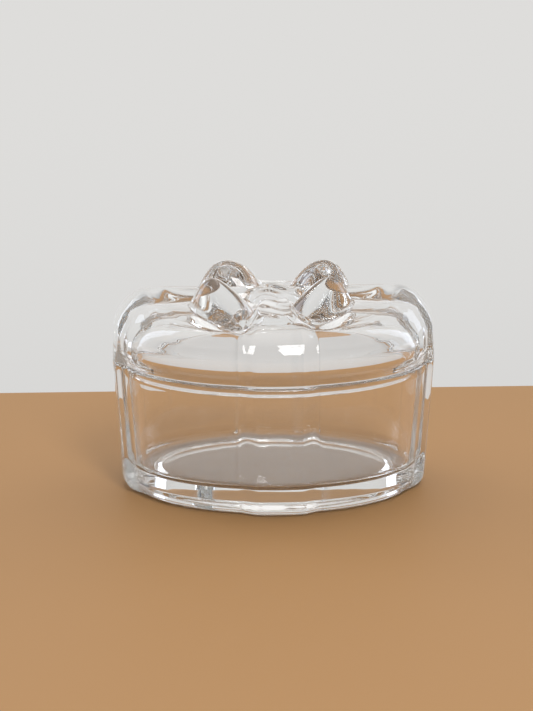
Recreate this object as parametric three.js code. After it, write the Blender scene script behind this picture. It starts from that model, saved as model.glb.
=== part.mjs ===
// Oval box of clear pressed glass, moulded like a wrapped present: a deep dish and a domed lid.
// Millimetres, +Z up. The origin is the middle of the underside, and +X runs along the oval.
// Both pieces are turned from a profile, drawn out into an oval, and then given their relief.
import * as THREE from 'three';
import { mergeVertices } from 'three/addons/utils/BufferGeometryUtils.js';

// The oval body, measured without the ribbon.
const bodyLength = 96;
const bodyDepth = 78;
const baseHeight = 41;
const lidHeight = 18.8;

// The dish. Its underside is hollowed a little, so it stands on a ring.
const baseTaper = 2.9;
const baseWall = 3.2;
const floorThickness = 7.8;
const footRound = 4.5;
const floorRound = 3;
const recessRadius = 37.5;
const recessDepth = 2.6;

// The lid. Its crown is level along X and falls towards the front and the back.
const lidTaper = 0.6;
const lidWall = 3.8;
const crownThickness = 5.8;
const crownFall = 4.1;
const shoulderRound = 9.8;
const ceilingRound = 8;

// How the lid seats: its flange drops inside the wall of the dish.
const seatGap = 0.3;
const flangeClearance = 0.35;
const flangeThickness = 1.9;
const flangeDepth = 3.8;

// The ribbon: flat with soft slopes, and pinched at the knot. To the two sides it is a round strap on
// the crown, which turns into the flat ribbon over the shoulder. Where the pinch opens and where the
// strap turns flat are given as shares of the crown's radius.
const ribbonFlat = 12.6;
const ribbonSlope = 6.2;
const ribbonRelief = 2;
const ribbonPinch = 0.4;
const pinchOpens = [0.2, 1];
const strapWidth = 15.2;
const strapRise = 3.2;
const strapSoftness = 0.6;
const strapTurnsFlat = [1.05, 1.25];

// The low knot in the middle, and the folds that swing across it.
const knotMiddleY = -2;
const knotLength = 17;
const knotDepth = 19;
const knotRise = 3.3;
const knotSoftness = 0.6;
const foldSpacing = 5;
const foldHeight = 0.8;
const foldSwing = 2;

// The petals fan out from roots either side of the middle. For each: the way it points and how far
// it spreads to its left and right of that, in degrees; how far its crest is from the root, and how
// far from the crest its tip and its back come down; and how much longer it is on its left, at the
// skew's angle from the way it points.
const petalRoot = 4;
const petalSideSoftness = 0.7;
const petalEndSoftness = 0.75;
const skewAngle = 50;
const petals = [
  { points: 210, left: 41, right: 22, crest: 21.8, tip: 6, back: 7, rise: 10.3, skew: 0.3 },
  { points: -31, left: 26, right: 43, crest: 19, tip: 5.8, back: 8.2, rise: 9.9, skew: -0.2 },
  { points: 147, left: 33, right: 39, crest: 16.8, tip: 8.5, back: 11.5, rise: 9.7, skew: -0.4 },
  { points: 23, left: 39, right: 30, crest: 18.2, tip: 7.5, back: 8.5, rise: 9.7, skew: 0.4 },
];

// Steps round each curve of the profiles, up the dish's wall, across the crown, and round the oval
// between two ribbons.
const steps = { foot: 5, floor: 4, ceiling: 5, shoulder: 8, wall: 3, crown: 24, open: 12 };

const rimRadius = bodyLength / 2;
const lengthOverDepth = (bodyLength - bodyDepth) / 2;
const crownRadius = rimRadius - lidTaper - shoulderRound;
const crownDepthRadius = crownRadius - lengthOverDepth;
const ribbonHalf = ribbonFlat / 2;
const rimHeight = baseHeight + seatGap;

// Point on a ring of the oval. Outside the crown every ring keeps an even distance to the next,
// so walls are equally thick all round; inside it the rings close in on the middle.
function ovalPoint(radius, angle) {
  const share = Math.min(radius / crownRadius, 1);
  const depthRadius = radius - lengthOverDepth * Math.sin((share * Math.PI) / 2);
  return new THREE.Vector2(radius * Math.cos(angle), depthRadius * Math.sin(angle));
}

function ovalNormal(radius, angle) {
  const depthRadius = radius - lengthOverDepth;
  return new THREE.Vector2(depthRadius * Math.cos(angle), radius * Math.sin(angle)).normalize();
}

// Angles of the rings' points over one quarter: lines run down both edges of each ribbon's slope.
function quarterAngles() {
  const marks = [0, ribbonHalf, ribbonHalf + ribbonSlope];
  const nearSide = withMiddles(marks.map((mark) => Math.asin(mark / (bodyDepth / 2))));
  const nearFront = withMiddles(marks.map((mark) => Math.acos(mark / rimRadius)).reverse());
  const from = nearSide.at(-1);
  const between = [];
  for (let step = 1; step < steps.open; step += 1) {
    between.push(from + ((nearFront[0] - from) * step) / steps.open);
  }
  return [...nearSide, ...between, ...nearFront];
}

// A list of marks with one more halfway between each two.
function withMiddles(marks) {
  return marks.flatMap((mark, index) => (index === 0 ? [mark] : [(marks[index - 1] + mark) / 2, mark]));
}

function fullTurn() {
  const quarter = quarterAngles();
  const half = [...quarter, ...quarter.slice(0, -1).reverse().map((angle) => Math.PI - angle)];
  return [...half, ...half.slice(1).map((angle) => angle + Math.PI)];
}

const turn = fullTurn();

// Half of a cosine wave: 0 up to the start, 1 from the end on.
function easeBetween(value, start, end) {
  const share = THREE.MathUtils.clamp((value - start) / (end - start), 0, 1);
  return (1 - Math.cos(Math.PI * share)) / 2;
}

// Height of the ribbon over a wall, at an offset from its middle line.
function wallRibbon(offset) {
  return ribbonRelief * (1 - easeBetween(offset, ribbonHalf, ribbonHalf + ribbonSlope));
}

// Height of the ribbon over the lid. The share is the ring's radius over the crown's.
function lidRibbon(x, y, share) {
  const offset = Math.min(Math.abs(x), Math.abs(y));
  const pinch = THREE.MathUtils.lerp(ribbonPinch, 1, easeBetween(share, ...pinchOpens));
  if (Math.abs(x) < Math.abs(y)) {
    return wallRibbon(offset / pinch);
  }
  const strap = dome(strapRise, offset / ((strapWidth / 2) * pinch), strapSoftness);
  return THREE.MathUtils.lerp(strap, wallRibbon(offset), easeBetween(share, ...strapTurnsFlat));
}

// Height of a round top that is highest at 0 and comes down at 1, gently if its softness is high.
function dome(rise, place, softness) {
  return rise * Math.max(1 - place * place, 0) ** softness;
}

// Height of a petal: highest at its crest, with a steep tip. It is longer on one side by its skew.
function petalHeight(x, y, petal) {
  const rootY = petalRoot * Math.sign(Math.sin(THREE.MathUtils.degToRad(petal.points)));
  const distance = Math.hypot(x, y - rootY) - petal.crest;
  const angle = THREE.MathUtils.radToDeg(Math.atan2(y - rootY, x));
  const turned = THREE.MathUtils.euclideanModulo(angle - petal.points + 180, 360) - 180;
  const side = dome(petal.rise, turned / (turned > 0 ? petal.left : petal.right), petalSideSoftness);
  if (distance > 0) {
    const tip = petal.tip * (1 + (petal.skew * turned) / skewAngle);
    return dome(side, distance / tip, petalEndSoftness);
  }
  return dome(side, distance / petal.back, petalEndSoftness);
}

function knotHeight(x, y) {
  const along = x / (knotLength / 2);
  const across = (y - knotMiddleY) / (knotDepth / 2);
  const swing = foldSwing * Math.sin(Math.PI * along);
  const fold = foldHeight * Math.cos((2 * Math.PI * (y + swing)) / foldSpacing);
  return dome(knotRise + fold, Math.hypot(along, across), knotSoftness);
}

// Profile points carry the radius and height of a ring, and how far its relief moves it out or up.
function ring(radius, height, out = 0, up = 0) {
  return { radius, height, out, up };
}

function arcOfRings(centreRadius, centreHeight, round, fromDegrees, toDegrees, count, skin) {
  const rings = [];
  for (let step = 0; step <= count; step += 1) {
    const angle = THREE.MathUtils.degToRad(fromDegrees + ((toDegrees - fromDegrees) * step) / count);
    const out = skin ? Math.cos(angle) : 0;
    const up = skin ? Math.max(Math.sin(angle), 0) : 0;
    const radius = centreRadius + round * Math.cos(angle);
    rings.push(ring(radius, centreHeight + round * Math.sin(angle), out, up));
  }
  return rings;
}

// Turns a profile into a closed oval casting. The profile runs from the axis to the axis.
function cast(name, profile, relief, material) {
  const outline = profile.map((point) => new THREE.Vector2(point.radius, point.height));
  const geometry = new THREE.LatheGeometry(outline, turn.length - 1);
  const position = geometry.attributes.position;
  for (let index = 0; index < position.count; index += 1) {
    const point = profile[index % profile.length];
    const angle = turn[Math.floor(index / profile.length)];
    const place = ovalPoint(point.radius, angle);
    const raised = relief(place.x, place.y, point);
    const normal = ovalNormal(Math.max(point.radius, crownRadius), angle);
    place.addScaledVector(normal, raised.out);
    position.setXYZ(index, place.x, place.y, point.height + raised.up);
  }
  geometry.deleteAttribute('normal');
  geometry.deleteAttribute('uv');
  const mesh = new THREE.Mesh(withoutEmptyFaces(mergeVertices(geometry)), material);
  mesh.name = name;
  return mesh;
}

// The rings shrink to one point on the axis, which leaves faces with two equal corners.
function withoutEmptyFaces(geometry) {
  const corners = Array.from(geometry.index.array);
  const kept = [];
  for (let index = 0; index < corners.length; index += 3) {
    const face = corners.slice(index, index + 3);
    if (new Set(face).size === 3) {
      kept.push(...face);
    }
  }
  geometry.setIndex(kept);
  return geometry;
}

const glass = new THREE.MeshStandardMaterial({
  color: 0xe8edf0,
  roughness: 0.05,
  metalness: 0,
  transparent: true,
  opacity: 0.45,
});

// The dish: hollowed underside, rounded foot, tapered wall, and a thick floor inside.
const footRadius = rimRadius - baseTaper;
const wallAngle = THREE.MathUtils.radToDeg(Math.atan2(baseTaper, baseHeight));
const innerTop = rimRadius - baseWall;
const innerFoot = footRadius - baseWall + (baseTaper * (floorThickness + floorRound)) / baseHeight;

function baseProfile() {
  const rings = [ring(0, recessDepth), ring(recessRadius - recessDepth, recessDepth), ring(recessRadius, 0)];
  const foot = arcOfRings(footRadius - footRound, footRound, footRound, -90, -wallAngle, steps.foot, true);
  foot.forEach((point) => rings.push(ring(point.radius, point.height, 1, 0)));
  const wallStart = rings.at(-1);
  for (let step = 1; step <= steps.wall; step += 1) {
    const share = step / steps.wall;
    const radius = THREE.MathUtils.lerp(wallStart.radius, rimRadius, share);
    rings.push(ring(radius, THREE.MathUtils.lerp(wallStart.height, baseHeight, share), 1, 0));
  }
  rings.push(ring(innerTop, baseHeight));
  rings.push(ring(innerTop, baseHeight - flangeDepth - seatGap));
  const floorTop = floorThickness + floorRound;
  rings.push(...arcOfRings(innerFoot - floorRound, floorTop, floorRound, 0, -90, steps.floor));
  rings.push(ring(0, floorThickness));
  return rings;
}

// The dish only has the ribbon, which stands out sideways, so its foot stays flat.
function baseRelief(x, y, point) {
  return { out: point.out * wallRibbon(Math.min(Math.abs(x), Math.abs(y))), up: 0 };
}

// The lid: ceiling and inner wall, the flange, the seat, the outer wall, the shoulder and the crown.
const crownHeight = rimHeight + lidHeight;
const ceilingHeight = crownHeight - crownThickness;
const flangeOuter = innerTop - flangeClearance;
const flangeInner = flangeOuter - flangeThickness;
const lidInner = rimRadius - lidTaper - lidWall;

function lidProfile() {
  const shoulderHeight = crownHeight - shoulderRound;
  const ceilingEdge = ceilingHeight - ceilingRound;
  const ceiling = arcOfRings(lidInner - ceilingRound, ceilingEdge, ceilingRound, 90, 0, steps.ceiling);
  const rings = [ring(0, ceilingHeight), ...ceiling];
  rings.push(ring(flangeInner, rimHeight));
  rings.push(ring(flangeInner, rimHeight - flangeDepth));
  rings.push(ring(flangeOuter, rimHeight - flangeDepth));
  rings.push(ring(flangeOuter, rimHeight));
  rings.push(ring(rimRadius, rimHeight, 1, 0));
  rings.push(...arcOfRings(crownRadius, shoulderHeight, shoulderRound, 0, 90, steps.shoulder, true));
  for (let step = 1; step <= steps.crown; step += 1) {
    rings.push(ring(crownRadius * (1 - step / steps.crown), crownHeight, 0, 1));
  }
  return rings;
}

// The lid carries the ribbon all over and the bow on its crown, which falls to the front and back.
function lidRelief(x, y, point) {
  const ribbon = lidRibbon(x, y, point.radius / crownRadius);
  const bow = Math.max(knotHeight(x, y), ...petals.map((petal) => petalHeight(x, y, petal)));
  const onSkin = point.out + point.up > 0;
  const climb = onSkin ? (point.height - rimHeight) / lidHeight : 0;
  const fall = crownFall * Math.min(Math.abs(y) / crownDepthRadius, 1) ** 2;
  return { out: point.out * ribbon, up: point.up * Math.max(ribbon, bow) - fall * climb };
}

const box = new THREE.Group();
box.add(cast('base', baseProfile(), baseRelief, glass));
box.add(cast('lid', lidProfile(), lidRelief, glass.clone()));

export default box;
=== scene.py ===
import math

import bmesh
import bpy
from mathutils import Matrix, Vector


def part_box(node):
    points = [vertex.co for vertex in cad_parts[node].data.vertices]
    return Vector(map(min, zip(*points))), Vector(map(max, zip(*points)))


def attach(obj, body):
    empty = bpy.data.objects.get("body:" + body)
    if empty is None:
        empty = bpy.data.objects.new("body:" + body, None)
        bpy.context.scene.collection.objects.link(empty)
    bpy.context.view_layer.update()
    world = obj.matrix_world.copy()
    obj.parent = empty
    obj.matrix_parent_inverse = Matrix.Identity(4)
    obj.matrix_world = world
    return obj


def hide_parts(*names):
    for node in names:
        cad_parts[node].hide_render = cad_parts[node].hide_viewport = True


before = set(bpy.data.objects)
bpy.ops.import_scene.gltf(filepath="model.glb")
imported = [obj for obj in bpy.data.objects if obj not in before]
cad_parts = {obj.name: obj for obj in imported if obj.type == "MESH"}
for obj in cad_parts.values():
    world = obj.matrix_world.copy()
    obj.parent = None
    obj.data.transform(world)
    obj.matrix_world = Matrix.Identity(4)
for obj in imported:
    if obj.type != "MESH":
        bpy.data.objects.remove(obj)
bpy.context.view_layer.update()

MM = 0.001

# ---------------------------------------------------------------------------------------------
# The dish. It is pressed from clear lead crystal in one shot: the mould leaves a thick floor, a
# tapered wall, and four flat ribbon bands that stand out of the wall from the rim to the foot.
# Its edges are fire-polished, so every one of them is a small round that catches the light.

_, base_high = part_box("base")
ribbon_relief = 2.0 * MM
ribbon_flat = 12.6 * MM
ribbon_slope = 6.2 * MM
rim_radius = base_high.x - ribbon_relief
rim_depth_radius = base_high.y - ribbon_relief
base_height = base_high.z
base_taper = 2.9 * MM
base_wall = 3.2 * MM
floor_thickness = 7.8 * MM
foot_round = 4.5 * MM
recess_radius = 37.5 * MM
recess_depth = 2.6 * MM
floor_round = 3.0 * MM
edge_round = 0.7 * MM
lid_taper = 0.6 * MM
shoulder_round = 9.8 * MM
crown_radius = rim_radius - lid_taper - shoulder_round
turn_steps = 360
weld_distance = 0.002 * MM
slack = 0.1 * MM


def profile(corners):
    """A wire outline in the XZ plane. Each corner has its radius and height, the size of its round and
    the steps round it, and how many cuts the line to the next corner gets."""
    bm = bmesh.new()
    verts = [bm.verts.new((radius, 0, height)) for radius, height, *_ in corners]
    for pair in zip(verts, verts[1:]):
        bm.edges.new(pair)
    places = [vert.co.copy() for vert in verts]
    for index, (_, _, size, steps, _) in enumerate(corners):
        if size:
            before = (places[index - 1] - places[index]).normalized()
            after = (places[index + 1] - places[index]).normalized()
            half_angle = before.angle(after) / 2
            vert = min(bm.verts, key=lambda other: (other.co - places[index]).length)
            bmesh.ops.bevel(
                bm, geom=[vert], offset=size / math.tan(half_angle), segments=steps,
                profile=0.5, affect="VERTICES", material=-1)
    for index, (*_, cuts) in enumerate(corners[:-1]):
        if cuts:
            middle = (places[index] + places[index + 1]) / 2
            run = min(bm.edges, key=lambda edge: span_gap(edge, middle))
            bmesh.ops.subdivide_edges(bm, edges=[run], cuts=cuts)
    return bm


def span_gap(edge, point):
    """Distance from a point to an edge."""
    start, end = (vert.co for vert in edge.verts)
    along = end - start
    share = min(max((point - start).dot(along) / along.length_squared, 0), 1)
    return (start + along * share - point).length


def turned(bm):
    """Spins an outline round the Z axis into a closed casting."""
    geometry = bm.verts[:] + bm.edges[:]
    bmesh.ops.spin(
        bm, geom=geometry, cent=(0, 0, 0), axis=(0, 0, 1), dvec=(0, 0, 0),
        angle=2 * math.pi, steps=turn_steps, use_merge=True)
    bmesh.ops.remove_doubles(bm, verts=bm.verts, dist=weld_distance)
    return bm


def smooth_step(value, start, end):
    """Half of a cosine wave: 0 up to the start, 1 from the end on."""
    share = min(max((value - start) / (end - start), 0), 1)
    return 0.5 - 0.5 * math.cos(math.pi * share)


def wall_ribbon(offset):
    """The ribbon on a wall: a flat strip with soft slopes. The offset is from its middle line."""
    edge = ribbon_flat / 2
    return ribbon_relief * (1 - smooth_step(offset, edge, edge + ribbon_slope))


def drawn_oval(vert):
    """Draws a turned ring out into the oval, and returns the way its wall faces."""
    radius = math.hypot(vert.co.x, vert.co.y)
    if radius < weld_distance:
        return Vector((0, 0, 0)), radius
    difference = rim_radius - rim_depth_radius
    share = min(radius / crown_radius, 1)
    depth_radius = radius - difference * math.sin(share * math.pi / 2)
    cosine, sine = vert.co.x / radius, vert.co.y / radius
    vert.co.y = depth_radius * sine
    wall = max(radius, crown_radius)
    facing = Vector(((wall - difference) * cosine, wall * sine, 0)).normalized()
    return facing, radius


def finished(bm, name):
    """Makes the casting an object with smooth faces that point outwards."""
    bmesh.ops.recalc_face_normals(bm, faces=bm.faces)
    mesh = bpy.data.meshes.new(name)
    bm.to_mesh(mesh)
    bm.free()
    mesh.shade_smooth()
    piece = bpy.data.objects.new(name, mesh)
    bpy.context.collection.objects.link(piece)
    return piece


foot_radius = rim_radius - base_taper
inner_top = rim_radius - base_wall
inner_foot = foot_radius - base_wall + base_taper * floor_thickness / base_height
rim_skin = 1.5 * edge_round

dish_outline = profile([
    (0, recess_depth, 0, 0, 6),
    (recess_radius - recess_depth, recess_depth, 1.0 * MM, 4, 0),
    (recess_radius, 0, 0.5 * MM, 4, 1),
    (foot_radius, 0, foot_round, 8, 12),
    (rim_radius, base_height, edge_round, 4, 0),
    (inner_top, base_height, edge_round, 4, 8),
    (inner_foot, floor_thickness, floor_round, 8, 8),
    (0, floor_thickness, 0, 0, 0),
])
dish = turned(dish_outline)
for vert in dish.verts:
    facing, radius = drawn_oval(vert)
    wall_radius = foot_radius + base_taper * vert.co.z / base_height
    on_foot = vert.co.z < foot_round and radius > foot_radius - foot_round - slack
    if on_foot or radius > wall_radius - rim_skin:
        vert.co += facing * wall_ribbon(min(abs(vert.co.x), abs(vert.co.y)))
dish = finished(dish, "dish")


def srgb(hex_value):
    """A hex colour as Blender's linear numbers."""
    channels = (int(hex_value[start:start + 2], 16) / 255 for start in (1, 3, 5))
    return [c / 12.92 if c <= 0.04045 else ((c + 0.055) / 1.055) ** 2.4 for c in channels] + [1]


def add_node(tree, kind, settings=None, values=None, links=None):
    """Adds a node, sets it, fills its sockets, and links other nodes' sockets into it."""
    node = tree.nodes.new(kind)
    for key, value in (settings or {}).items():
        setattr(node, key, value)
    for key, value in (values or {}).items():
        node.inputs[key].default_value = value
    for key, socket in (links or {}).items():
        tree.links.new(socket, node.inputs[key])
    return node


def new_material(name):
    material = bpy.data.materials.new(name)
    material.use_nodes = True
    material.node_tree.nodes.clear()
    return material


# Lead crystal, pressed and fire-polished: brilliantly clear, with an index a little over window glass.
# The mould's skin is never quite flat, so its reflections swim a little over waves some 9 mm long.
crystal = new_material("fire_polished_lead_crystal")
tree = crystal.node_tree
place = add_node(tree, "ShaderNodeTexCoord")
waves = add_node(
    tree, "ShaderNodeTexNoise", values={"Scale": 1 / (9 * MM), "Detail": 1.0, "Roughness": 0.4},
    links={"Vector": place.outputs["Object"]})
skin = add_node(
    tree, "ShaderNodeBump", values={"Strength": 0.25, "Distance": 0.1 * MM},
    links={"Height": waves.outputs["Fac"]})
glass = add_node(
    tree, "ShaderNodeBsdfPrincipled",
    values={"Base Color": srgb("#ffffff"), "Roughness": 0.0, "IOR": 1.54, "Transmission Weight": 1.0},
    links={"Normal": skin.outputs["Normal"]})
tint = add_node(
    tree, "ShaderNodeVolumeAbsorption", values={"Color": srgb("#e8f0f2"), "Density": 4.0})
add_node(
    tree, "ShaderNodeOutputMaterial",
    links={"Surface": glass.outputs["BSDF"], "Volume": tint.outputs["Volume"]})
dish.data.materials.append(crystal)

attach(dish, "base")
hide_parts("base")

# ---------------------------------------------------------------------------------------------
# The lid. It is one more pressing of the same crystal: a domed cap whose ribbon bands cross in
# the middle under a bow of four petals and a low knot. A flange under its rim drops into the dish.

lid_low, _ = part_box("lid")
flange_depth = 3.8 * MM
flange_thickness = 1.9 * MM
flange_clearance = 0.35 * MM
flange_slope = 1.5 * MM
lid_wall = 3.8 * MM
ceiling_round = 8.0 * MM
crown_thickness = 5.8 * MM
lid_height = 18.8 * MM
crown_fall = 4.1 * MM
rim_height = lid_low.z + flange_depth
crown_height = rim_height + lid_height
ceiling_height = crown_height - crown_thickness
shoulder_height = crown_height - shoulder_round
flange_outer = inner_top - flange_clearance
flange_inner = flange_outer - flange_thickness
lid_inner = rim_radius - lid_taper - lid_wall
crown_depth_radius = rim_depth_radius - lid_taper - shoulder_round

# The ribbon is pinched at the knot. To the two sides it is a round strap on the crown, which turns into
# the flat ribbon over the shoulder. Where it does so is given in shares of the crown's radius.
ribbon_pinch = 0.4
pinch_opens = (0.2, 1.0)
strap_rise = 3.2 * MM
strap_half = 7.6 * MM
strap_softness = 0.6
strap_turns_flat = (1.05, 1.25)

knot_middle = Vector((0, -2)) * MM
knot_half = Vector((8.5, 9.5)) * MM
knot_rise = 3.3 * MM
knot_softness = 0.6
fold_spacing = 5.0 * MM
fold_height = 0.8 * MM
fold_swing = 2.0 * MM

# Each petal: the way it points from its root, how far it spreads to its left and right of that, how
# high it is, how far its crest is from the root, and how far from the crest its tip and its back come
# down. Lengths are in millimetres, and the skew makes the tip longer on the petal's left.
petal_root = 4 * MM
petal_side_softness = 0.7
petal_end_softness = 0.75
skew_angle = 50
petals = [
    {"points": 210, "left": 41, "right": 22, "rise": 10.3,
     "crest": 21.8, "tip": 6.0, "back": 7.0, "skew": 0.3},
    {"points": -31, "left": 26, "right": 43, "rise": 9.9,
     "crest": 19.0, "tip": 5.8, "back": 8.2, "skew": -0.2},
    {"points": 147, "left": 33, "right": 39, "rise": 9.7,
     "crest": 16.8, "tip": 8.5, "back": 11.5, "skew": -0.4},
    {"points": 23, "left": 39, "right": 30, "rise": 9.7,
     "crest": 18.2, "tip": 7.5, "back": 8.5, "skew": 0.4},
]


def round_top(place, softness):
    """A round top: 1 in the middle and 0 from the edge on. It comes down gently if softness is high."""
    return max(1 - place ** 2, 0) ** softness


def petal_height(x, y, petal):
    """A petal fans out from its root, is highest at its crest, and drops steeply to its tip."""
    from_root = y - math.copysign(petal_root, math.sin(math.radians(petal["points"])))
    past_crest = math.hypot(x, from_root) / MM - petal["crest"]
    turn = (math.degrees(math.atan2(from_root, x)) - petal["points"] + 180) % 360 - 180
    side = round_top(turn / petal["left" if turn > 0 else "right"], petal_side_softness)
    reach = petal["tip"] * (1 + petal["skew"] * turn / skew_angle) if past_crest > 0 else petal["back"]
    return petal["rise"] * MM * side * round_top(past_crest / reach, petal_end_softness)


def knot_height(x, y):
    """A low mound with a few folds that swing from side to side as they cross it."""
    along, across = (x - knot_middle.x) / knot_half.x, (y - knot_middle.y) / knot_half.y
    swing = fold_swing * math.sin(math.pi * along)
    fold = fold_height * math.cos(math.tau * (y + swing) / fold_spacing)
    return (knot_rise + fold) * round_top(math.hypot(along, across), knot_softness)


def lid_ribbon(x, y, share):
    """Height of the ribbon over the lid. The share is the ring's radius over the crown's."""
    offset = min(abs(x), abs(y))
    pinch = ribbon_pinch + (1 - ribbon_pinch) * smooth_step(share, *pinch_opens)
    if abs(x) < abs(y):
        return wall_ribbon(offset / pinch)
    wall = smooth_step(share, *strap_turns_flat)
    strap = strap_rise * round_top(offset / (strap_half * pinch), strap_softness)
    return strap * (1 - wall) + wall_ribbon(offset) * wall


def soft_max(first, second, blend):
    """The larger of two heights, with a fillet between them as the glass has."""
    share = max(blend - abs(first - second), 0) / blend
    return max(first, second) + share * share * blend / 4


# The rings are closest over the petals and a little wider apart over the knot. What lies further past
# a face than its edge round is outer skin, and the bow rises only where that skin faces mostly up.
knot_rings = 0.35 * crown_radius
fillet = 0.8 * MM
past_face = 0.5 * MM
mostly_up = 0.5
smoothing_passes = 2

lid_outline = profile([
    (0, ceiling_height, 0, 0, 10),
    (lid_inner, ceiling_height, ceiling_round, 12, 2),
    (lid_inner, rim_height + flange_slope, 0, 0, 0),
    (flange_inner, rim_height, 0, 0, 4),
    (flange_inner, rim_height - flange_depth, edge_round, 4, 0),
    (flange_outer, rim_height - flange_depth, edge_round, 4, 2),
    (flange_outer, rim_height, 0, 0, 2),
    (rim_radius, rim_height, edge_round, 4, 10),
    (rim_radius - lid_taper, crown_height, shoulder_round, 22, 70),
    (knot_rings, crown_height, 0, 0, 26),
    (0, crown_height, 0, 0, 0),
])
lid = turned(lid_outline)
crown_verts = []
for vert in lid.verts:
    facing, radius = drawn_oval(vert)
    height = vert.co.z
    on_wall = radius > flange_outer + past_face and height > rim_height - slack
    on_crown = height > ceiling_height + past_face
    if not (on_wall or on_crown):
        continue
    tilt = math.atan2(max(height - shoulder_height, 0), max(radius - crown_radius, 0))
    out, up = math.cos(tilt), math.sin(tilt)
    x, y = vert.co.x, vert.co.y
    fall = crown_fall * min(abs(y) / crown_depth_radius, 1) ** 2
    vert.co.z -= fall * (height - rim_height) / lid_height
    ribbon = lid_ribbon(x, y, radius / crown_radius)
    vert.co += facing * (out * ribbon)
    raised = ribbon
    if up > mostly_up:
        bow = max([knot_height(x, y)] + [petal_height(x, y, petal) for petal in petals])
        raised = soft_max(ribbon, bow, fillet)
    vert.co.z += up * raised
    if radius < crown_radius:
        crown_verts.append(vert)
for _ in range(smoothing_passes):
    bmesh.ops.smooth_vert(
        lid, verts=crown_verts, factor=0.5, use_axis_x=False, use_axis_y=False, use_axis_z=True)
lid = finished(lid, "lid_with_bow")
lid.data.materials.append(crystal)

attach(lid, "lid")
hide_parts("lid")

# ---------------------------------------------------------------------------------------------
# The table: a plain matt top in the tan of pine, with a straight back edge some way behind the box.

table_front = -0.9
table_back = 0.112
table_half_width = 0.6
table_thickness = 0.025
table_gap = 0.02 * MM

table = bmesh.new()
bmesh.ops.create_cube(table, size=1)
for vert in table.verts:
    vert.co.x *= 2 * table_half_width
    vert.co.y = table_front if vert.co.y < 0 else table_back
    vert.co.z = (-table_thickness if vert.co.z < 0 else 0) - table_gap
table = finished(table, "table_top")
for polygon in table.data.polygons:
    polygon.use_smooth = False

# Matt lacquer over the whole board: no grain shows, and there is only a broad soft sheen.
lacquer = new_material("matt_tan_lacquer")
tree = lacquer.node_tree
paint = add_node(
    tree, "ShaderNodeBsdfPrincipled", values={"Base Color": srgb("#bd8d58"), "Roughness": 0.6})
add_node(tree, "ShaderNodeOutputMaterial", links={"Surface": paint.outputs["BSDF"]})
table.data.materials.append(lacquer)

# ---------------------------------------------------------------------------------------------
# Soft studio light: a room that is pale behind and brightest above, and dim in front, with a window
# in front of the box and a weak cool soft box behind it on each side.

room = bpy.data.worlds.new("room")
bpy.context.scene.world = room
room.use_nodes = True

# The room's light is found by the rays that happen to reach it, so it also lights what is under glass.
room.cycles.sampling_method = "NONE"
tree = room.node_tree
tree.nodes.clear()
direction = add_node(tree, "ShaderNodeTexCoord")
split = add_node(tree, "ShaderNodeSeparateXYZ", links={"Vector": direction.outputs["Generated"]})
lifted = add_node(
    tree, "ShaderNodeMath", settings={"operation": "MULTIPLY_ADD"}, values={1: 0.9},
    links={0: split.outputs["Z"], 2: split.outputs["Y"]})
towards_back = add_node(
    tree, "ShaderNodeMapRange", settings={"interpolation_type": "SMOOTHSTEP"},
    values={"From Min": 0.1, "From Max": 0.85}, links={"Value": lifted.outputs["Value"]})
colour = add_node(
    tree, "ShaderNodeMix", settings={"data_type": "RGBA"},
    values={6: srgb("#656c74"), 7: srgb("#dedddb")}, links={0: towards_back.outputs["Result"]})
overhead = add_node(
    tree, "ShaderNodeMapRange", settings={"interpolation_type": "SMOOTHSTEP"},
    values={"From Min": 0.4, "From Max": 0.95, "To Min": 1.0, "To Max": 1.5},
    links={"Value": split.outputs["Z"]})
glow = add_node(
    tree, "ShaderNodeBackground",
    links={"Color": colour.outputs[2], "Strength": overhead.outputs["Result"]})
add_node(tree, "ShaderNodeOutputWorld", links={"Surface": glow.outputs["Background"]})

box_middle = Vector((0, 0, 0.04))


def soft_box(name, place, size, tone, power):
    """A rectangular lamp that faces the box."""
    light = bpy.data.lights.new(name, "AREA")
    light.shape = "RECTANGLE"
    light.size, light.size_y = size
    light.energy = power
    light.color = srgb(tone)[:3]
    lamp = bpy.data.objects.new(name, light)
    lamp.location = place
    lamp.rotation_euler = (box_middle - Vector(place)).to_track_quat("-Z", "Y").to_euler()
    lamp.visible_camera = False
    bpy.context.collection.objects.link(lamp)


soft_box("window", (0.2, -0.9, 0.9), (0.26, 0.5), "#ffffff", 5)
soft_box("left_box", (-0.8, 0.7, 0.4), (0.3, 0.8), "#dbe7fb", 1.6)
soft_box("right_box", (0.85, 0.65, 0.4), (0.3, 0.8), "#dbe7fb", 1.3)

# Light inside the glass is reflected and bent many times before it leaves, so it isn't cut off early.
glass_bounces = 64
scene = bpy.context.scene
scene.view_settings.view_transform = "Standard"
scene.cycles.max_bounces = glass_bounces
scene.cycles.transmission_bounces = glass_bounces
scene.cycles.glossy_bounces = glass_bounces

# ---------------------------------------------------------------------------------------------
# The camera looks a little down on the front of the box.

camera_data = bpy.data.cameras.new("camera")
camera_data.lens = 158
camera_data.sensor_width = 36
camera = bpy.data.objects.new("camera", camera_data)
elevation = math.radians(14.5)
azimuth = math.radians(-3)
distance = 0.97
aim = Vector((-2.2, 0, 41.2)) * MM
level = Vector((math.sin(azimuth), -math.cos(azimuth), 0))
back_off = level * math.cos(elevation) + Vector((0, 0, math.sin(elevation)))
camera.location = aim + back_off * distance
camera.rotation_mode = "QUATERNION"
camera.rotation_quaternion = (aim - camera.location).to_track_quat("-Z", "Y")
bpy.context.collection.objects.link(camera)
scene.camera = camera

bpy.context.view_layer.update()
